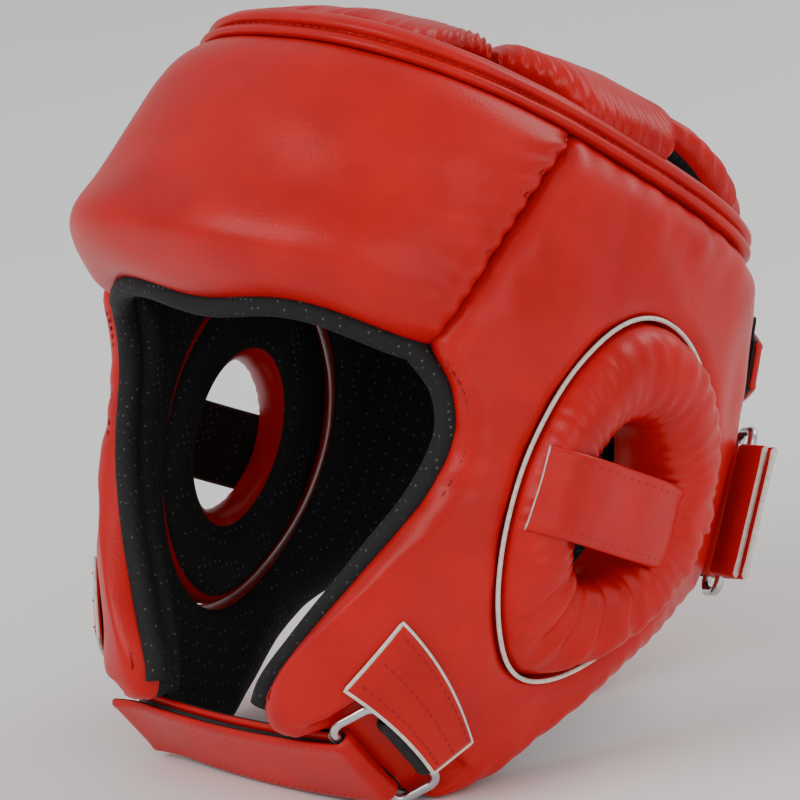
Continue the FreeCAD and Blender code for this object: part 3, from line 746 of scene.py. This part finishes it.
def ring_frame(l, h, w):
    """The chin ring's own frame: from its strap bar towards its anchor bar."""
    turn = math.radians(225)
    return chin(l * math.cos(turn) - h * math.sin(turn), l * math.sin(turn) + h * math.cos(turn), w)


loop = [(22.5, -3.0), (19, -2.9)] + round_bar(16, 0, range(262, 78, -12)) + [(19, 1.2), (22.5, -0.6)]
piece = strap("chin_ring_loop", ring_frame, loop, 13, 1.9, [webbing, webbing, webbing])
declare(piece, "shell", "webbing", "chin_loop")

# ---------------------------------------------------------------- rear straps
# A wide folded strap crosses the back under a webbing-looped ring and back over itself on
# hook-and-loop tape.  Above it a leaf-ended strap closes on a black velour patch.


def rear(l, h, w):
    z = -36 + w
    a, b = smooth(SECTIONS, z, 1) + h, smooth(SECTIONS, z, 3) + h
    return Vector((l, b * max(1 - abs(l / a) ** 2.8, 0.0) ** (1 / 2.8), z))


def level_path(start, end, level, steps=50):
    return [(start + (end - start) * i / steps, level) for i in range(steps + 1)]


rear_kinds = [leatherette, webbing, leatherette]
piece = strap("rear_strap_lower", rear, level_path(-74, 50, 4.7), 22, 2.1, rear_kinds)
declare(piece, "shell", "leatherette", "rear_strap_run")
piece = strap("rear_strap_loop_tape", rear, level_path(-8, 46, 6.2), 20, 0.75, [velour, velour, velour])
declare(piece, "shell", "hook_and_loop", "rear_loop_tape")
heel = round_bar(57, 6, range(-100, 84, 12))
piece = strap("rear_strap_flap", rear, heel + level_path(55, -14, 8.8), 22, 2.1,
              [webbing, leatherette, raw_edge])
declare(piece, "rear_flap", "leatherette", "rear_flap")
piece = strap("rear_strap_hook_tape", rear, level_path(-8, 46, 7.35), 20, 0.7,
              [tape_hook, tape_hook, tape_hook])
declare(piece, "rear_flap", "hook_and_loop", "rear_hook_tape")
for edge, w in (("upper", 19.2), ("lower", -19.2)):
    stitches("rear_flap_stitches_" + edge, lambda t, w=w: rear(52 - 62 * t, 9.9, w), 20, 2.2, red_thread,
             body="rear_flap")
ring_turn = math.radians(187)
REAR_ALONG, REAR_OUT = Vector((-0.897, 0.442, 0)), Vector((0.442, 0.897, 0))
REAR_BAR = Vector((57, 113.5, -36))


def rear_ring_frame(l, h, w):
    """The rear ring's own frame: from its strap bar towards its anchor bar."""
    along = REAR_ALONG * math.cos(ring_turn) + REAR_OUT * math.sin(ring_turn)
    out = -REAR_ALONG * math.sin(ring_turn) + REAR_OUT * math.cos(ring_turn)
    return REAR_BAR + along * l + out * h + Vector((0, 0, w))


loop = [(33, -2.9), (24, -2.8)] + round_bar(15, 0, range(262, 78, -12)) + [(20, 1.4), (30, -0.7)]
piece = strap("rear_ring_loop", rear_ring_frame, loop, 22, 1.9, [leatherette, leatherette, raw_edge])
declare(piece, "shell", "leatherette", "rear_anchor_loop")


def upper(l, h, w):
    return rear(l, h, w + 48)


piece = strap("upper_velour", upper, level_path(20, 62, 0.7), 17, 0.75, [velour, velour, velour])
declare(piece, "shell", "hook_and_loop", "upper_loop_tape")
piece = strap("upper_hooks", upper, level_path(22, 62, 1.85), 16, 0.7, [tape_hook, tape_hook, tape_hook])
declare(piece, "upper_strap", "hook_and_loop", "upper_hook_tape")
piece = strap("upper_strap_leaf", upper, level_path(-49.5, 66, 3.4), 17, 2.1,
              [leatherette, velour, leatherette], tip=0.55)
declare(piece, "upper_strap", "leatherette", "upper_strap")
piece = strap("upper_strap_sewn_end", upper, level_path(-76, -50, 2.4), 17, 4.0, rear_kinds)
declare(piece, "shell", "leatherette", "upper_strap_root")

# ---------------------------------------------------------------- floor, light and camera
# A pale seamless studio sweep, a large soft key from the upper left and a weaker fill, with the
# camera a little above the brow on the wearer's left.
sweep_finish = surfaced("studio_floor", "f4f4f2", "f8f8f7", 400, "noise", 2.0, 0.02, 0.8)
bpy.ops.mesh.primitive_plane_add(size=14, location=(0, 0, 0))
floor = bpy.context.object
floor.name = "floor"
floor.data.materials.append(sweep_finish)
AIM = Vector((0.004, -0.0188, 0.1113))
for name, spot, size, watts in (("key", (-0.3, -1.9, 1.7), 1.4, 24), ("fill", (1.9, -0.6, 0.9), 1.6, 10),
                                ("back", (0.4, 1.7, 1.5), 1.2, 14)):
    light = bpy.data.lights.new(name, "AREA")
    light.energy, light.size = watts, size
    lamp = bpy.data.objects.new(name, light)
    lamp.location = spot
    lamp.rotation_euler = (AIM - Vector(spot)).to_track_quat("-Z", "Y").to_euler()
    bpy.context.scene.collection.objects.link(lamp)
world = bpy.data.worlds.new("studio")
world.use_nodes = True
world.node_tree.nodes["Background"].inputs["Color"].default_value = (1, 1, 1, 1)
world.node_tree.nodes["Background"].inputs["Strength"].default_value = 0.6
bpy.context.scene.world = world
lens = bpy.data.cameras.new("camera")
lens.lens, lens.sensor_width = 209.25, 36
camera = bpy.data.objects.new("camera", lens)
azimuth, rise, roll = math.radians(47.03), math.radians(13.82), math.radians(-5.18)
back = Vector((math.sin(azimuth) * math.cos(rise), -math.cos(azimuth) * math.cos(rise), math.sin(rise)))
camera.location = AIM + back * 1.5
level_view = back.to_track_quat("Z", "Y").to_matrix()
camera.rotation_euler = (level_view @ Matrix.Rotation(roll, 3, "Z")).to_euler()
bpy.context.scene.collection.objects.link(camera)
bpy.context.scene.camera = camera
